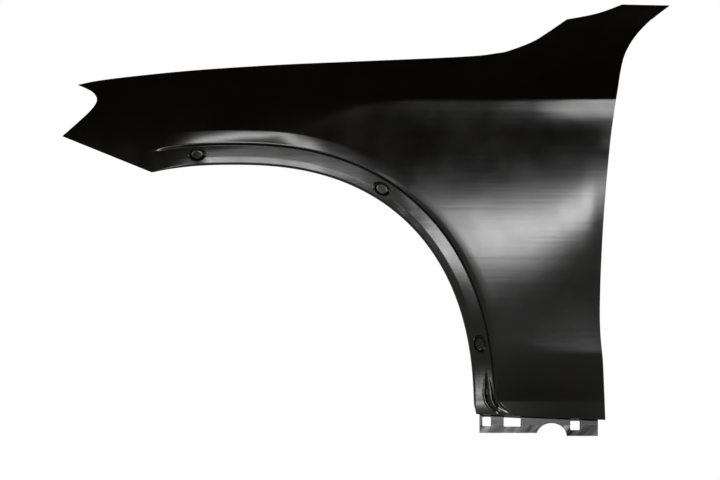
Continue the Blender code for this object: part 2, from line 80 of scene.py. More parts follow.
# corners of the outline, as shares of the reaches across and of the rises up
outline = {
    "lamp": ((-0.999, 1.289), (-0.919, 1.413), (-0.843, 1.536), (-0.806, 1.614), (-0.795, 1.676),
             (-0.817, 1.739), (-0.861, 1.784), (-0.908, 1.819)),
    "hood": ((-0.908, 1.819), (-0.784, 1.863), (-0.549, 1.914), (-0.197, 1.973), (0.192, 2.040),
             (0.522, 2.095), (0.852, 2.149), (1.032, 2.186), (1.180, 2.228)),
    "sweep": ((1.180, 2.228), (1.254, 2.257), (1.437, 2.401), (1.559, 2.554), (1.704, 2.761)),
    "cowl": ((1.704, 2.761), (1.865, 2.821), (1.987, 2.888), (2.253, 2.996)),
    "horn": ((2.253, 2.996), (2.997, 2.980)),
    "door": ((2.997, 2.980), (2.689, 2.737), (2.456, 2.484), (2.306, 2.222), (2.238, 1.980),
             (2.191, 1.784), (2.129, 1.526), (2.059, 1.155), (1.987, 0.809), (1.964, 0.590),
             (1.956, 0.430), (1.961, 0.332), (1.979, 0.231), (1.989, 0.117), (1.998, 0.0)),
    "foot": (1.040, 0.022),
    "footRound": 0.030,
    "archFront": 0.3325,
}

mesh = {
    "cell": 0.0050, "edgeStep": 0.0045, "curveSteps": 24,
    "snap": 0.00042,                        # a grid line takes a point that lies this near
    "archSteps": 260, "footSteps": 64, "footShare": 0.935,      # the last part of the arch has closer points
    "halvings": 40, "lipSamples": 400, "lipReach": 0.004, "lipThirds": 24,      # for finding places by trial
    "smoothAngle": math.radians(38),
}
archShares = [k / mesh["archSteps"] for k in range(mesh["archSteps"] + 1)]
archShares = [share for share in archShares if share < mesh["footShare"]]
archShares += [mesh["footShare"] + (1 - mesh["footShare"]) * k / mesh["footSteps"]
               for k in range(mesh["footSteps"] + 1)]


def place(across, up):
    reaches = (0.0, form["archReach"], doorLine, doorLine + form["hornReach"])
    rises = (0.0, form["archRise"], form["archRise"] + form["crownRise"],
             form["archRise"] + form["crownRise"] + form["hornRise"])

    def along(sizes, share):
        step = min(int(share), len(sizes) - 2)
        return sizes[step] + (share - step) * (sizes[step + 1] - sizes[step])

    x = across * form["noseReach"] if across < 0 else along(reaches, across)
    return Vector((x, 0.0, along(rises, max(up, 0.0))))


def runLengths(points):
    lengths = [0.0]
    for a, b in zip(points, points[1:]):
        lengths.append(lengths[-1] + (b - a).length)
    return lengths


def smoothRun(shares, spacing):
    # a curve through the corners, which at each one runs parallel to the line between its neighbours
    points = [place(*share) for share in shares]
    curve = [points[0]]
    for i in range(len(points) - 1):
        before, start, end = points[max(i - 1, 0)], points[i], points[i + 1]
        after = points[min(i + 2, len(points) - 1)]
        curve += interpolate_bezier(start, start + (end - before) / 6, end - (after - start) / 6, end,
                                    mesh["curveSteps"])[1:]
    lengths = runLengths(curve)
    count = max(1, round(lengths[-1] / spacing))
    run, at = [], 0
    for k in range(count + 1):
        want = lengths[-1] * k / count
        while at < len(curve) - 2 and lengths[at + 1] < want:
            at += 1
        share = (want - lengths[at]) / (lengths[at + 1] - lengths[at])
        run.append(curve[at].lerp(curve[at + 1], min(share, 1.0)))
    return run


def straightRun(start, end, spacing):
    count = max(1, round((end - start).length / spacing))
    return [start.lerp(end, k / count) for k in range(count + 1)]


def blend(value, low, high):
    share = min(max((value - low) / (high - low), 0.0), 1.0)
    return share * share * (3 - 2 * share)


def bend(distance, softness):
    if distance <= -softness:
        return 0.0
    if distance >= softness:
        return distance
    return (distance + softness) ** 2 / (4 * softness)


def mound(across, middle, width):
    return math.exp(-((across - middle) / width) ** 2)


def read(table, at):
    # smooth steps between the pairs of a table
    for (low, first), (high, last) in zip(table, table[1:]):
        if at <= high:
            return first + blend(at, low, high) * (last - first)
    return table[-1][1]


def skinDepth(x, z, footEase=0.0):
    f = form
    wrap = max(doorLine - x, 0.0) / (doorLine + f["noseReach"])
    rear = blend(x, f["archReach"], f["archReach"] + f["rearShare"] * f["sideReach"])
    forward = 1 - blend(x, *f["frontReach"])
    ahead = 1 - blend(x, f["archReach"], doorLine)
    depth = f["wrapDepth"] * wrap ** f["wrapPower"] + f["bottomSlope"] * z
    depth += f["footTurn"] * bend(z - f["footCrease"], f["creaseSoft"] + footEase)
    flare = f["sillFlare"] * (1 - blend(x, *f["flareReach"]))
    below = f["footCrease"] - z
    depth -= flare * (bend(below, f["creaseSoft"]) + bend(below, f["footCrease"])) / 2
    sillSoft = f["creaseSoft"] + f["sillSoft"] * ahead
    depth += (f["sillTurn"] + f["sillRearTurn"] * rear) * bend(z - f["sillCrease"], sillSoft)
    depth -= f["sillRearTurn"] * rear * bend(z - f["waist"], f["waistSoft"])
    lift = f["bellyLift"] * bend(x - f["archReach"] - f["liftShare"] * f["sideReach"], f["liftSoft"])
    bellySoft = f["bellySoft"] + f["bellyEase"] * (1 - blend(x, *f["easeReach"]))
    depth += f["bellyTurn"] * bend(z - f["belly"] - lift, bellySoft)
    depth += f["chestTurn"] * bend(z - f["chest"], f["chestSoft"])
    rise, full, fall, gone = f["crownHeights"]
    crown = f["crownTurn"] * bend(x - f["crownStart"], f["crownSoft"])
    depth += crown * blend(z, rise, full) * (1 - blend(z, fall, gone))
    depth += (f["neckTurn"] + f["neckRearTurn"] * rear) * bend(z - f["neck"], f["neckSoft"])
    depth += f["shoulderTurn"] * bend(z - f["shoulder"], f["creaseSoft"] + f["frontSoft"] * forward)
    depth += f["ridgeTurn"] * bend(z - f["ridge"], f["ridgeSoft"])
    depth += f["facetTurn"] * bend(x - doorLine - f["hornReach"] + f["facetLength"], f["creaseSoft"])
    return depth


# wheel arch border, from the edge outward; the tables give a slope at angles round the arch
border = {
    "power": 2.4, "hem": 0.0030, "strip": 0.0093, "band": 0.0187, "step": 0.0060, "lip": 0.0220,
    "bandDepth": 0.0075, "hemDepth": 0.0020, "stripSoft": 0.0012,
    "hemOver": 0.0010,                              # the hem rolls round just past the edge line
    "stepParts": 14,                                # one part of the step's width rounds each of its corners
    "tabShare": 0.56,                               # share of the strip from which the sill tab leaves
    "frontStart": math.radians(0.4), "frontFade": math.radians(12),     # the recess runs out near the front end
    "stripTilt": ((0, 0.03), (12, 0.03), (25, 0.14), (50, 0.14), (62, 0.08), (72, 0.035), (120, 0.035)),
    "bandTilt": ((0, 0.0), (20, 0.0), (36, -0.055), (42, -0.035), (48, -0.008), (54, 0.05), (66, 0.072),
                 (120, 0.072)),
    # the lip's slope at the skin, share of its width over which it turns, slope gained, more beside the step
    "lipTurn": ((0, 0.03), (14, 0.03), (26, 0.035), (48, 0.03), (60, 0.03), (72, 0.055), (78, 0.085),
                (84, 0.145), (90, 0.18), (95, 0.165), (102, 0.14), (120, 0.10)),
    "lipRamp": ((0, 0.80), (50, 0.90), (76, 0.10), (120, 0.10)),
    "lipRoll": ((0, 0.03), (26, 0.045), (48, 0.04), (60, 0.02), (70, 0.03), (84, 0.09), (96, 0.04),
                (120, 0.02)),
    "lipEdge": ((0, 0.30), (48, 0.32), (56, 0.12), (64, 0.0), (120, 0.0)), "edgeShare": 0.30,
    # rows of points that are kept beside the lip's start, inside the band and at the hem
    "lipRow": 0.0044, "bandRow": 0.0015, "middleRow": 0.0176, "hemRow": 0.0036,
}
stripOut = border["hem"] + border["strip"]
bandOut = stripOut + border["band"]
borderOut = bandOut + border["step"] + border["lip"]
stepEase = border["step"] / border["stepParts"]
tabStart = border["hem"] + border["strip"] * border["tabShare"]
frontTurn = math.acos(-(outline["archFront"] ** (border["power"] / 2)))
footSide = math.pi / 4                              # below this turn the arch runs down to its foot


def archPoint(turn, out):
    cos, sin = math.cos(turn), math.sin(turn)
    power = border["power"]
    x = form["archReach"] * math.copysign(abs(cos) ** (2 / power), cos)
    z = form["archRise"] * abs(sin) ** (2 / power)
    away = Vector((math.copysign(abs(x / form["archReach"]) ** (power - 1), x) / form["archReach"], 0.0,
                   (z / form["archRise"]) ** (power - 1) / form["archRise"])).normalized()
    return Vector((x, 0.0, z)) + out * away


def sillHeight(x):
    start, door = place(*outline["foot"]), place(*outline["door"][-1])
    return start.z + (x - start.x) * (door.z - start.z) / (door.x - start.x)


footTurns = {}


def footTurn(out):
    key = round(out, 7)
    if key not in footTurns:
        low, high = 0.0, footSide
        roundUp = outline["footRound"] * form["archRise"] * max(0.0, 1 - out / border["hem"])
        for _ in range(mesh["halvings"]):
            middle = (low + high) / 2
            point = archPoint(middle, out)
            if point.z < sillHeight(point.x) + roundUp:
                low = middle
            else:
                high = middle
        footTurns[key] = high
    return footTurns[key]


def borderDepth(turn, out):
    b = border
    degrees = math.degrees(turn)
    rolled = min((borderOut - out) / b["lip"], 1.0)
    ramp = read(b["lipRamp"], degrees)
    turned = rolled * rolled / (2 * ramp) if rolled < ramp else rolled - ramp / 2
    lip = b["lip"] * (read(b["lipTurn"], degrees) * turned + read(b["lipRoll"], degrees) * rolled * rolled / 2)
    edge = max(rolled - 1 + b["edgeShare"], 0.0) ** 2 / (2 * b["edgeShare"])
    lip += b["lip"] * read(b["lipEdge"], degrees) * edge
    band = b["bandDepth"] * blend(bandOut + b["step"] - out, stepEase, b["step"] - stepEase)
    band += read(b["bandTilt"], degrees) * max(bandOut - out, 0.0)
    strip = read(b["stripTilt"], degrees) * bend(stripOut - out, b["stripSoft"])
    hem = b["hemDepth"] * (max(b["hem"] - out, 0.0) / b["hem"]) ** 2
    return lip + band + strip + hem


# near the foot the band comes out to the skin, the step turns away to the rear, and a crescent is pressed in
foot = {
    "risen": 0.92, "riseHeights": (0.013, 0.100),   # share of the recess that is gone at the bottom
    "deeper": 0.12, "deepTo": 0.180,                # share gained above that, up to this height
    "turnHeight": 0.045, "turnSpan": 0.0164, "turnReach": 0.0049, "turnPower": 2.35, "pivot": 0.010,
    "fadeOuts": (0.038, 0.057), "fadeShift": 0.004,
    "creaseEase": 0.024, "creaseOuts": (0.028, 0.042),      # the skin's lowest crease is gone in the band
    # the crescent's middle and half width at each height, its section, and the raised lines beside it
    "crescentMiddle": ((0.0118, 0.0245), (0.0185, 0.0237), (0.0235, 0.0227), (0.0336, 0.0218),
                       (0.0470, 0.0213), (0.0672, 0.0218), (0.0874, 0.0233)),
    "crescentHalf": ((0.0100, 0.0), (0.0151, 0.0010), (0.0235, 0.0020), (0.0336, 0.0026), (0.0470, 0.0028),
                     (0.0588, 0.0021), (0.0756, 0.0012), (0.0890, 0.0)),
    "crescentDepth": 0.0022, "crescentReach": 1.35, "crescentPower": 1.5,
    "halfLeast": 0.0002, "halfFull": 0.0020,
    "bead": 0.0004, "beadPlace": (-1.7, 0.5), "rib": 0.0007, "ribPlace": (2.3, 0.9),
    "grooveDepth": 0.0013, "grooveHalf": 0.0017, "grooveLow": (0.010, 0.026), "grooveHigh": (0.080, 0.125),
    "besideShare": 0.25, "besidePlace": (2.3, 0.8),         # raised line beside the groove
}


def footPlace(out, z):
    # distance from the edge at which the same part of the border lies higher up, and how much of it is left
    drop = max(foot["turnHeight"] - z, 0.0)
    shift = foot["turnReach"] * (drop / foot["turnSpan"]) ** foot["turnPower"]
    middle, pivot = bandOut + border["step"] / 2, foot["pivot"]
    low, high = foot["riseHeights"]
    left = 1 - foot["risen"] + (foot["risen"] + foot["deeper"]) * blend(z, low, high)
    left -= foot["deeper"] * blend(z, high, foot["deepTo"])
    left *= 1 - blend(out, *foot["fadeOuts"]) * blend(shift, 0.0, foot["fadeShift"])
    if out <= pivot:
        return out, left
    if out >= middle + shift:
        return out - shift, left
    return pivot + (out - pivot) * (middle - pivot) / (middle + shift - pivot), left


def crescent(out, z):
    half = read(foot["crescentHalf"], z)
    if half < foot["halfLeast"]:
        return 0.0
    across = (out - read(foot["crescentMiddle"], z)) / half
    hollow = max(1 - abs(across) / foot["crescentReach"], 0.0) ** foot["crescentPower"]
    depth = foot["crescentDepth"] * hollow
    depth -= foot["bead"] * mound(across, *foot["beadPlace"])
    depth -= foot["rib"] * mound(across, *foot["ribPlace"])
    return depth * min(half / foot["halfFull"], 1.0)


def footGroove(out, z):
    # the groove along the step stays sharp where the step itself runs out
    strength = foot["grooveDepth"] * blend(z, *foot["grooveLow"]) * (1 - blend(z, *foot["grooveHigh"]))
    across = (out - bandOut - border["step"] / 2) / foot["grooveHalf"]
    return strength * (mound(across, 0.0, 1.0) - foot["besideShare"] * mound(across, *foot["besidePlace"]))


def turnOfShare(share, out):
    return frontTurn + share * (footTurn(out) - frontTurn)


def shareOfTurn(turn, out):
    return (frontTurn - turn) / (frontTurn - footTurn(out))


def borderPoint(share, out, pressed=0.0):
    turn = turnOfShare(share, out)
    point = archPoint(turn, out)
    same, left = footPlace(out, point.z)
    left *= blend(frontTurn - turn - border["frontStart"], 0.0, border["frontFade"])
    footEase = foot["creaseEase"] * (1 - blend(same, *foot["creaseOuts"]))
    point.y = skinDepth(point.x, point.z, footEase) + borderDepth(turn, same) * left + pressed
    if turn < footSide:
        point.y += crescent(same, point.z) + footGroove(same, point.z)
    return point


# from the skin to the arch edge, where a run of rows starts and how far apart its rows are
rowRuns = (
    (borderOut, 0.0011), (borderOut - border["lipRow"], 0.0012),
    (bandOut + border["step"], 0.0006), (bandOut + border["step"] - stepEase, 0.0005),
    (bandOut + stepEase, 0.0006), (bandOut, 0.0005),
    (bandOut - border["bandRow"], 0.0014), (border["middleRow"], 0.0014),
    (stripOut + border["stripSoft"], 0.0006), (stripOut - border["stripSoft"], 0.0014),
    (tabStart, 0.0014), (border["hemRow"], 0.0006), (border["hem"], 0.0006), (-border["hemOver"], None),
)
borderOuts = []
for (start, spacing), (end, _) in zip(rowRuns, rowRuns[1:]):
    count = max(1, round((start - end) / spacing))
    borderOuts += [start + (end - start) * k / count for k in range(count)]
borderOuts.append(-border["hemOver"])
tabRow = borderOuts.index(tabStart)

back, down = Vector((0.0, 1.0, 0.0)), Vector((0.0, 0.0, -1.0))


def fold(bm, run, newPoints):
    edges = [bm.edges.get((a, b)) for a, b in zip(run, run[1:])]
    made = bmesh.ops.extrude_edge_only(bm, edges=edges)["geom"]
    fresh = {item for item in made if isinstance(item, bmesh.types.BMVert)}
    newRun = []
    for vert, point in zip(run, newPoints):
        twin = next(edge.other_vert(vert) for edge in vert.link_edges if edge.other_vert(vert) in fresh)
        twin.co = point
        newRun.append(twin)
    return newRun


def walkEdge(start, end):
    run = [start]
    while run[-1] is not end:
        loop = next(loop for loop in run[-1].link_loops if loop.edge.is_boundary)
        run.append(loop.link_loop_next.vert)
    return run


def closed(bm, ring):
    return [bm.edges.new((a, b)) for a, b in zip(ring, ring[1:] + ring[:1])]


creaseLines = sorted([form[name] + side * form["creaseSoft"]
                      for name in ("footCrease", "sillCrease", "shoulder") for side in (-1, 0, 1)])

# edges folded inboard, the ledge on the hood side and the sill tab
folds = {
    "sheet": 0.0008, "radius": 0.0020, "returnDepth": 0.0130,
    "relief": 0.0440,                               # no fold this near the end of an edge
    "hoodRoll": 0.0050, "rollAngles": (30, 60, 90), "hoodDrop": 0.0160, "hoodLedge": 0.0280,
    "ledgeRows": (0.06, 0.25, 0.85, 1.0), "padShares": (0.10, 0.37, 0.64, 0.91), "padHalf": 0.016,
    "bolt": 0.0075, "boltPlace": 0.55, "boltSides": 32,
    # rows where the fold to the tab leaves the skin (inboard, down) and meets its plane (short of it, down)
    "leaveRows": ((1 / 3, 1 / 9), (1, 1 / 3)), "meetRows": ((1, 0.5), (0.25, 0.8), (0, 1)),
    "tabBend": 0.0026, "tabLand": 0.0008, "tabDropFront": 0.0218, "tabDropRear": 0.0269,
    "slotRound": 0.0015, "slotSides": 5, "slotHeight": 0.0152, "slotWidths": (0.92, 1.86, 1.02),
    "slotTops": (-0.33, -0.28, 0.11), "slotMiddles": (0.058, 0.274, 0.805),
    "notchMiddle": 0.6070, "notchWidth": 0.0505, "notchRise": 0.0215, "notchSides": 32,
}
tabRear = doorLine - folds["returnDepth"]


def layOutPanel(bm):
    step = mesh["edgeStep"]
    nose, doorFoot = place(*outline["lamp"][0]), place(*outline["door"][-1])
    section = [borderPoint(0.0, out) for out in borderOuts[::-1]]
    lip = [borderPoint(share, borderOut) for share in archShares]
    tabEnd = Vector((tabRear, 0.0, sillHeight(tabRear)))
    runs = {
        "doorFoot": smoothRun(outline["door"], step)[::-1],
        "hornTip": smoothRun(outline["horn"], step)[::-1],
        "hornTop": smoothRun(outline["cowl"], step)[::-1],
        "cowl": smoothRun(outline["sweep"], step)[::-1],
        "sweep": smoothRun(outline["hood"], step)[::-1],
        "hoodFront": smoothRun(outline["lamp"], step)[::-1],
        "nose": straightRun(nose, section[0], step),
        "archFront": section,
        "lipFront": lip,
        "lipFoot": straightRun(lip[-1], tabEnd, step),
        "tabRear": straightRun(tabEnd, doorFoot, step),
    }
    corners, points = {}, []
    for name, run in runs.items():
        corners[name] = len(points)
        points += [bm.verts.new((p.x, 0.0, p.z)) for p in run[:-1]]
    bm.faces.new(points)
    return {name: points[index] for name, index in corners.items()}


def cutIntoCells(bm):
    lowX, highX = place(*outline["lamp"][0]).x, place(*outline["horn"][-1]).x
    columns = round((highX - lowX) / mesh["cell"])
    cuts = [(lowX + k * (highX - lowX) / columns, None) for k in range(1, columns)]
    facet = doorLine + form["hornReach"] - form["facetLength"]
    cuts += [(facet + side * form["creaseSoft"], None) for side in (-1, 0, 1)]
    low = place(*outline["door"][-1]).z
    for high in creaseLines + [place(*outline["horn"][0]).z]:
        rows = max(1, round((high - low) / mesh["cell"]))
        cuts += [(None, low + (k + 1) * (high - low) / rows) for k in range(rows)]
        low = high
    for x, z in cuts:
        across = Vector((0.0, 0.0, 1.0)) if x is None else Vector((1.0, 0.0, 0.0))
        bmesh.ops.bisect_plane(bm, geom=bm.verts[:] + bm.edges[:] + bm.faces[:], dist=mesh["snap"],
                               plane_co=(x or 0.0, 0.0, z or 0.0), plane_no=across)


def lipShares(run):
    # share of the way round for every point on the lip line, also those that a grid line added
    def away(share, flat):
        return (archPoint(turnOfShare(share, borderOut), borderOut) - flat).length

    samples = [k / mesh["lipSamples"] for k in range(mesh["lipSamples"] + 1)]
    sampled = [archPoint(turnOfShare(share, borderOut), borderOut) for share in samples]
    shares = []
    for vert in run:
        flat = Vector((vert.co.x, 0.0, vert.co.z))
        guess = min(zip(samples, sampled), key=lambda pair: (pair[1] - flat).length)[0]
        low, high = guess - mesh["lipReach"], guess + mesh["lipReach"]
        for _ in range(mesh["lipThirds"]):
            a, b = low + (high - low) / 3, high - (high - low) / 3
            if away(a, flat) < away(b, flat):
                high = b
            else:
                low = a
        shares.append(min(max((low + high) / 2, 0.0), 1.0))
    shares[0], shares[-1] = 0.0, 1.0
    return shares


def pressBorder(bm, corners, spots):
    section = walkEdge(corners["archFront"], corners["lipFront"])[::-1]
    run = walkEdge(corners["lipFront"], corners["lipFoot"])
    shares = lipShares(run)
    rows = [run]
    for vert, share in zip(run, shares):
        spots[vert] = (share, borderOut)
    for out in borderOuts[1:]:
        run = fold(bm, run, [borderPoint(share, out) for share in shares])
        for vert, share in zip(run, shares):
            spots[vert] = (share, out)
        rows.append(run)
    for row, vert in zip(rows[1:], section[1:]):
        spots[vert] = spots.pop(row[0])
    bmesh.ops.weld_verts(bm, targetmap={row[0]: vert for row, vert in zip(rows[1:], section[1:])})
    for row, vert in zip(rows[1:], section[1:]):
        row[0] = vert
    return rows


def pressShape(bm, spots, inside, loops):
    faces = [face for face in bm.faces if all(vert in spots for vert in face.verts)
             and any(inside(*spots[vert]) for vert in face.verts)]
    gone = set(faces)
    rim = {edge for face in faces for edge in face.edges
           if any(other not in gone for other in edge.link_faces)}
    keep = {vert for edge in rim for vert in edge.verts}
    for vert in {vert for face in faces for vert in face.verts} - keep:
        spots.pop(vert, None)
    bmesh.ops.delete(bm, geom=faces, context="FACES")
    rings = [[bm.verts.new(point) for point in loop] for loop in loops]
    count = len(loops[0])
    bmesh.ops.triangle_fill(bm, edges=list(rim) + closed(bm, rings[0]), use_beauty=True, normal=-back)
    for outer, inner in zip(rings, rings[1:]):
        for k in range(count):
            after = (k + 1) % count
            bm.faces.new((outer[k], outer[after], inner[after], inner[k]))
    bm.faces.new(rings[-1])


# clip pockets pressed into the band; each ring has its share of the size and its depth
pockets = {
    "length": 0.0310, "width": 0.0228, "turns": (95.6, 57.6, 13.1), "outShare": 0.569, "sides": 48,
    "rings": ((1.00, 0.0), (0.96, -0.0005), (0.90, -0.0009), (0.84, -0.0005), (0.80, 0.0003),
              (0.77, 0.0014), (0.73, 0.0030), (0.69, 0.0039), (0.64, 0.0044), (0.58, 0.0045),
              (0.40, 0.0045), (0.2, 0.0045)),
    "cleared": 1.06, "paceStep": 0.002,
}


def pressPocket(bm, spots, degrees):
    middle = pockets["outShare"] * bandOut
    share = shareOfTurn(math.radians(degrees), middle)
    step = pockets["paceStep"]
    pace = 2 * step / (borderPoint(share + step, middle) - borderPoint(share - step, middle)).length
    halfLong, halfWide = pockets["length"] / 2, pockets["width"] / 2
    loops = []
    for size, depth in pockets["rings"]:
        loop = []
        for k in range(pockets["sides"]):
            angle = math.tau * k / pockets["sides"]
            loop.append(borderPoint(share + size * halfLong * math.cos(angle) * pace,
                                    middle + size * halfWide * math.sin(angle), depth))
        loops.append(loop)

    def inside(at, out):
        return math.hypot((at - share) / pace / halfLong, (out - middle) / halfWide) < pockets["cleared"]

    pressShape(bm, spots, inside, loops)


def relieved(run):
    first, last = run[0].co, run[-1].co
    relief = min(folds["relief"], (last - first).length / 4)
    return [vert for vert in run if min((vert.co - first).length, (vert.co - last).length) > relief]


def returnFlange(bm, run):
    reach = folds["returnDepth"] - folds["radius"]
    for deep in (folds["radius"] / 2, folds["radius"] / 2, reach / 2, reach / 2):
        run = fold(bm, run, [vert.co + deep * back for vert in run])


def foldHoodSide(bm, run):
    start = [vert.co.copy() for vert in run]
    lengths = runLengths(start)
    heights = [p.z - folds["hoodDrop"] for p in start]
    pads = []
    for share in folds["padShares"]:
        pads.append(min(range(len(run)), key=lambda k: abs(lengths[k] - share * lengths[-1])))
    for middle in pads:
        for k in range(len(run)):
            if abs(lengths[k] - lengths[middle]) < folds["padHalf"]:
                heights[k] = start[middle].z - folds["hoodDrop"]
    roll = folds["hoodRoll"]
    for angle in folds["rollAngles"]:
        turn = math.radians(angle)
        moved = roll * (math.sin(turn) * back + (1 - math.cos(turn)) * down / 2)
        run = fold(bm, run, [p + moved for p in start])
    wall = [Vector((p.x, p.y + roll, z)) for p, z in zip(start, heights)]
    rows = [fold(bm, run, wall)]
    for share in folds["ledgeRows"]:
        rows.append(fold(bm, rows[-1], [p + share * folds["hoodLedge"] * back for p in wall]))
    for middle in pads:
        point = wall[middle] + folds["boltPlace"] * folds["hoodLedge"] * back
        cutBolt(bm, rows[2], rows[3], middle, point)


def cutBolt(bm, near, far, middle, point):
    # a round hole in the two cells of the ledge on each side of a pad's middle
    patch = {row[k] for row in (near, far) for k in range(middle - 2, middle + 3)}
    faces = {face for vert in patch for face in vert.link_faces
             if all(other in patch for other in face.verts)}
    rim = [edge for face in faces for edge in face.edges
           if any(other not in faces for other in edge.link_faces)]
    bmesh.ops.delete(bm, geom=list(faces), context="FACES")
    radius, sides = folds["bolt"] / 2, folds["boltSides"]
    ring = []
    for k in range(sides):
        angle = math.tau * k / sides
        ring.append(bm.verts.new(point + radius * Vector((math.cos(angle), math.sin(angle), 0.0))))
    bmesh.ops.triangle_fill(bm, edges=rim + closed(bm, ring), use_beauty=True, normal=down)


def tabPoint(share, drop):
    start = place(*outline["foot"]).x
    return Vector((start + share * (tabRear - start), -form["rowOffset"][1] - folds["sheet"], -drop))


def tabOutline(rearX, frontX):
    # lower edge of the tab with its half-round notch, from the rear to the front
    face, middle = tabPoint(0.0, 0.0).y, tabPoint(folds["notchMiddle"], 0.0).x
    half, rise = folds["notchWidth"] / 2, folds["notchRise"]
    low = math.asin((folds["tabDropRear"] - folds["tabDropFront"]) / rise)
    line = [(rearX, -folds["tabDropRear"])]
    for k in range(folds["notchSides"] + 1):
        angle = (math.pi - low) * k / folds["notchSides"]
        line.append((middle + half * math.cos(angle), rise * math.sin(angle) - folds["tabDropRear"]))
    line.append((frontX, -folds["tabDropFront"]))
    points = []
    for (x, z), (nextX, nextZ) in zip(line, line[1:]):
        steps = max(1, round(math.hypot(nextX - x, nextZ - z) / mesh["edgeStep"]))
        for k in range(steps):
            points.append(Vector((x + (nextX - x) * k / steps, face, z + (nextZ - z) * k / steps)))
    return points + [Vector((line[-1][0], face, line[-1][1]))]


def slotOutline(middle, topShare, widthShare):
    height, corner = folds["slotHeight"], folds["slotRound"]
    centre = tabPoint(middle, (topShare + 0.5) * height)
    halfWide, halfHigh = widthShare * height / 2 - corner, height / 2 - corner
    points = []
    for turn, (side, up) in enumerate(((1, 1), (-1, 1), (-1, -1), (1, -1))):
        for k in range(folds["slotSides"] + 1):
            angle = math.pi / 2 * (turn + k / folds["slotSides"])
            points.append(centre + Vector((side * halfWide + corner * math.cos(angle), 0.0,
                                           up * halfHigh + corner * math.sin(angle))))
    return points


def foldTab(bm, run):
    start = [vert.co.copy() for vert in run]
    face = tabPoint(0.0, 0.0).y
    radius, tabBend = folds["radius"], folds["tabBend"]
    for inboard, drop in folds["leaveRows"]:
        run = fold(bm, run, [p + radius * (inboard * back + drop * down) for p in start])
    for short, drop in folds["meetRows"] + ((0, 1 + folds["tabLand"] / tabBend),):
        run = fold(bm, run, [Vector((p.x, face - short * radius, p.z - drop * tabBend)) for p in start])
    edges = [bm.edges.get((a, b)) for a, b in zip(run, run[1:])]
    lower = [bm.verts.new(point) for point in tabOutline(start[-1].x, start[0].x)]
    loop = [run[-1]] + lower + [run[0]]
    edges += [bm.edges.new((a, b)) for a, b in zip(loop, loop[1:])]
    for middle, top, width in zip(folds["slotMiddles"], folds["slotTops"], folds["slotWidths"]):
        edges += closed(bm, [bm.verts.new(point) for point in slotOutline(middle, top, width)])
    bmesh.ops.triangle_fill(bm, edges=edges, use_beauty=True, normal=-back)


def buildSheet():
    bm = bmesh.new()
    spots = {}      # share of the way round and distance from the edge, for each point of the border
    corners = layOutPanel(bm)
    cutIntoCells(bm)
    for vert in bm.verts:
        vert.co.y = skinDepth(vert.co.x, vert.co.z)
    rows = pressBorder(bm, corners, spots)
    for degrees in pockets["turns"]:
        pressPocket(bm, spots, degrees)
    returnFlange(bm, rows[-1][1:-1])
    foldTab(bm, walkEdge(rows[tabRow][-1], corners["tabRear"]))
    for start, end in (("doorFoot", "hornTip"), ("hornTop", "cowl"), ("cowl", "sweep"),
                       ("hoodFront", "nose"), ("nose", "archFront")):
        returnFlange(bm, relieved(walkEdge(corners[start], corners[end])))
    foldHoodSide(bm, relieved(walkEdge(corners["sweep"], corners["hoodFront"])))
    bmesh.ops.triangulate(bm, faces=[face for face in bm.faces if len(face.verts) > 4])
    data = bpy.data.meshes.new("pressedPanel")
    bm.to_mesh(data)
    bm.free()
    sheet = bpy.data.objects.new("pressedPanel", data)
    bpy.context.scene.collection.objects.link(sheet)
    return sheet


panel = buildSheet()
print("sheet pressed:", len(panel.data.polygons), "faces")

bpy.ops.object.select_all(action="DESELECT")
panel.select_set(True)
bpy.context.view_layer.objects.active = panel
wall = panel.modifiers.new("sheet", "SOLIDIFY")
wall.thickness, wall.offset, wall.use_even_offset = folds["sheet"], -1.0, True
bpy.ops.object.modifier_apply(modifier=wall.name)
panel.data.transform(Matrix.Translation(Vector(form["rowOffset"])))
bpy.ops.object.shade_smooth_by_angle(angle=mesh["smoothAngle"])
print("panel finished:", sum(len(face.vertices) - 2 for face in panel.data.polygons), "triangles")


def linear(hexCode):
    parts = [int(hexCode[i:i + 2], 16) / 255 for i in (1, 3, 5)]
    return [c / 12.92 if c <= 0.04045 else ((c + 0.055) / 1.055) ** 2.4 for c in parts] + [1.0]


def addNode(tree, kind, settings=None, links=None):
    # settings and links go to inputs by name or number, and other settings to the node itself
    node = tree.nodes.new(kind)
    for key, value in (settings or {}).items():
        if isinstance(key, int) or key in node.inputs:
            node.inputs[key].default_value = value
        else:
            setattr(node, key, value)
    for key, source in (links or {}).items():
        tree.links.new(source, node.inputs[key])
    return node


# black electro-dip primer baked on deep-drawn steel: a thin film, semi-gloss, with a soft peel and the press's
# draw lines, so a highlight is broad and dim at its edges and breaks up slightly along the panel
primerLook = {
    "thick": "#0a0908", "thin": "#14110e", "cloudWidth": 0.080,     # the film's colour where thick and thin
    "glossy": 0.150, "dull": 0.215, "gloss": (0.3, 0.7),            # roughness over this range of the cloud
    "peelWidth": 0.0040, "peelHeight": 0.000016, "index": 1.5,
    "drawWidth": 0.0090, "drawLength": 0.260, "drawHeight": 0.00006,    # finer in the real one
    # drag stains, only below this height, on the sill tab
    "stainWidth": 0.034, "stainLength": 0.150, "stainTurn": math.radians(-40), "stainHeight": 0.0015,
    "stainBelow": -0.0005,
}
primer = bpy.data.materials.new("blackElectroDipPrimer")
primer.use_nodes = True
coat = primer.node_tree
shader = coat.nodes["Principled BSDF"]
shader.inputs["IOR"].default_value = primerLook["index"]
onPanel = addNode(coat, "ShaderNodeTexCoord").outputs["Object"]


def addNoise(width, detail, roughness=0.5):
    return addNode(coat, "ShaderNodeTexNoise", {"Scale": 1 / width, "Detail": detail, "Roughness": roughness},
                   {"Vector": onPanel})


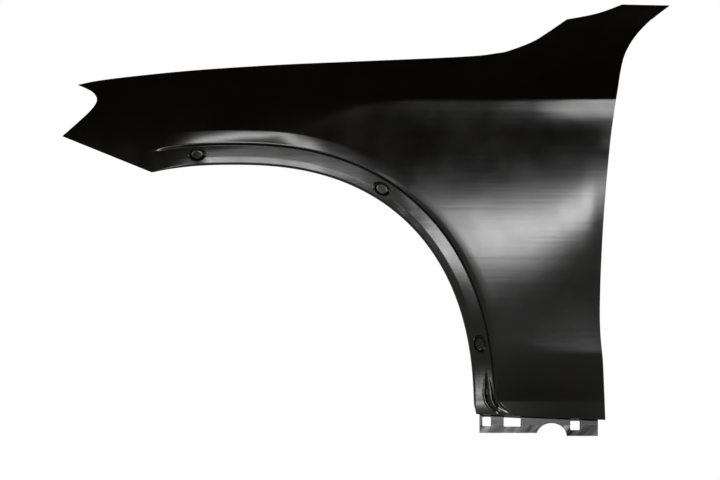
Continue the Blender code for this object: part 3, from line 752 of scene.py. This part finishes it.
def addStreaks(scale, source):
    stretched = addNode(coat, "ShaderNodeMapping", {"Scale": scale}, {"Vector": source})
    return addNode(coat, "ShaderNodeTexNoise", {"Scale": 1.0, "Detail": 2.0}, {"Vector": stretched.outputs[0]})


# cloudy film thickness, seen in colour and gloss
cloud = addNoise(primerLook["cloudWidth"], detail=3.0, roughness=0.6).outputs["Fac"]
film = addNode(coat, "ShaderNodeMix", {"data_type": "RGBA"}, {0: cloud})
film.inputs[6].default_value = linear(primerLook["thick"])
film.inputs[7].default_value = linear(primerLook["thin"])
coat.links.new(film.outputs[2], shader.inputs["Base Color"])
gloss = addNode(coat, "ShaderNodeMapRange",
                {"From Min": primerLook["gloss"][0], "From Max": primerLook["gloss"][1],
                 "To Min": primerLook["glossy"], "To Max": primerLook["dull"]}, {"Value": cloud})
coat.links.new(gloss.outputs[0], shader.inputs["Roughness"])

# draw lines run along the panel, peel lies over all of it, drag stains cross the tab
alongDraw, acrossDraw = 1 / primerLook["drawLength"], 1 / primerLook["drawWidth"]
draw = addStreaks((alongDraw, alongDraw, acrossDraw), onPanel).outputs["Fac"]
peel = addNoise(primerLook["peelWidth"], detail=1.0).outputs["Fac"]
turned = addNode(coat, "ShaderNodeMapping", {"Rotation": (0.0, primerLook["stainTurn"], 0.0)},
                 {"Vector": onPanel})
stain = addStreaks((1 / primerLook["stainWidth"], 1.0, 1 / primerLook["stainLength"]), turned.outputs[0])
height = addNode(coat, "ShaderNodeSeparateXYZ", links={"Vector": onPanel})
onTab = addNode(coat, "ShaderNodeMath", {"operation": "LESS_THAN", 1: primerLook["stainBelow"]},
                {0: height.outputs["Z"]})
stained = addNode(coat, "ShaderNodeMath", {"operation": "MULTIPLY"},
                  {0: stain.outputs["Fac"], 1: onTab.outputs[0]}).outputs[0]
normal = None
for pattern, size in ((draw, primerLook["drawHeight"]), (stained, primerLook["stainHeight"]),
                      (peel, primerLook["peelHeight"])):
    bump = addNode(coat, "ShaderNodeBump", {"Distance": size}, {"Height": pattern})
    if normal:
        coat.links.new(normal, bump.inputs["Normal"])
    normal = bump.outputs["Normal"]
coat.links.new(normal, shader.inputs["Normal"])
panel.data.materials.clear()
panel.data.materials.append(primer)

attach(panel, "root")
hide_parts("fender_panel")
print("primer on")

# floor, light and camera
stage = {
    "floorSize": 14.0, "floorColour": "#e8e8e6", "floorRoughness": 0.9,
    "viewWidth": 1.2096, "aimX": -0.2842, "aimZ": 0.3109, "distance": 6.0,
}
lowest = cadBox[0].z
bpy.ops.object.select_all(action="DESELECT")
bpy.ops.mesh.primitive_plane_add(size=stage["floorSize"], location=(stage["aimX"], 0.0, lowest))
floor = bpy.context.object
floor.name = "floor"
bpy.ops.object.transform_apply(location=True)
paper = bpy.data.materials.new("paleStudioFloor")
paper.use_nodes = True
paperShader = paper.node_tree.nodes["Principled BSDF"]
paperShader.inputs["Base Color"].default_value = linear(stage["floorColour"])
paperShader.inputs["Roughness"].default_value = stage["floorRoughness"]
floor.data.materials.append(paper)

# white behind the panel, but it lights nothing
world = bpy.data.worlds.new("whiteStudio")
bpy.context.scene.world = world
world.use_nodes = True
rayKind = addNode(world.node_tree, "ShaderNodeLightPath")
sky = world.node_tree.nodes["Background"]
sky.inputs["Color"].default_value = (1.0, 1.0, 1.0, 1.0)
world.node_tree.links.new(rayKind.outputs["Is Camera Ray"], sky.inputs["Strength"])

# for each softbox its middle, the point it faces, width and height in metres, watts, and the share of its width
# or height over which it fades at the left, right, bottom and top
lights = {
    "keySoftbox": ((-0.415, -4.0, 0.46), (-0.415, 0.0, 0.46), 1.33, 0.96, 73.0, (0.36, 0.33, 0.26, 0.38)),
    "sideSoftbox": ((-2.25, -4.0, 0.55), (-2.25, 0.0, 0.55), 1.50, 0.90, 64.0, (0.50, 0.50, 0.34, 0.34)),
    "topSoftbox": ((-0.30, 1.5, 3.2), (-0.30, -0.5, 0.0), 2.60, 1.00, 50.0, (0.20, 0.20, 0.20, 0.20)),
    "backSoftbox": ((-0.30, 3.6, 1.6), (-0.30, 0.0, 0.3), 2.60, 1.60, 120.0, (0.30, 0.30, 0.30, 0.30)),
    "noseSoftbox": ((-4.9, -2.4, 1.0), (-0.3, 0.0, 0.3), 1.60, 1.80, 70.0, (0.30, 0.30, 0.30, 0.30)),
    "doorSoftbox": ((3.4, 3.0, 1.1), (-0.3, 0.0, 0.3), 2.20, 1.80, 140.0, (0.30, 0.30, 0.30, 0.30)),
}
for name, (middle, aim, width, high, watts, fades) in lights.items():
    light = bpy.data.lights.new(name, "AREA")
    light.shape, light.size, light.size_y, light.energy = "RECTANGLE", width, high, watts
    light.use_nodes = True
    cloth = light.node_tree
    onCloth = addNode(cloth, "ShaderNodeSeparateXYZ",
                      links={"Vector": addNode(cloth, "ShaderNodeNewGeometry").outputs["Parametric"]})
    strength = None
    for axis, edge, fade in zip("XXYY", (0.0, 1.0, 0.0, 1.0), fades):
        ease = addNode(cloth, "ShaderNodeMapRange",
                       {"interpolation_type": "SMOOTHSTEP", "From Min": edge, "From Max": abs(edge - fade)},
                       {"Value": onCloth.outputs[axis]})
        if strength:
            ease = addNode(cloth, "ShaderNodeMath", {"operation": "MULTIPLY"},
                           {0: strength, 1: ease.outputs[0]})
        strength = ease.outputs[0]
    cloth.links.new(strength, cloth.nodes["Emission"].inputs["Strength"])
    lamp = bpy.data.objects.new(name, light)
    lamp.location = middle
    lamp.rotation_euler = (Vector(aim) - Vector(middle)).to_track_quat("-Z", "Y").to_euler()
    lamp.visible_camera = False
    bpy.context.scene.collection.objects.link(lamp)

camera = bpy.data.objects.new("camera", bpy.data.cameras.new("camera"))
camera.data.type = "ORTHO"
camera.data.ortho_scale = stage["viewWidth"]
camera.location = (stage["aimX"], -stage["distance"], stage["aimZ"])
camera.rotation_euler = (math.radians(90), 0.0, 0.0)
bpy.context.scene.collection.objects.link(camera)
bpy.context.scene.camera = camera
bpy.context.scene.view_settings.view_transform = "Standard"
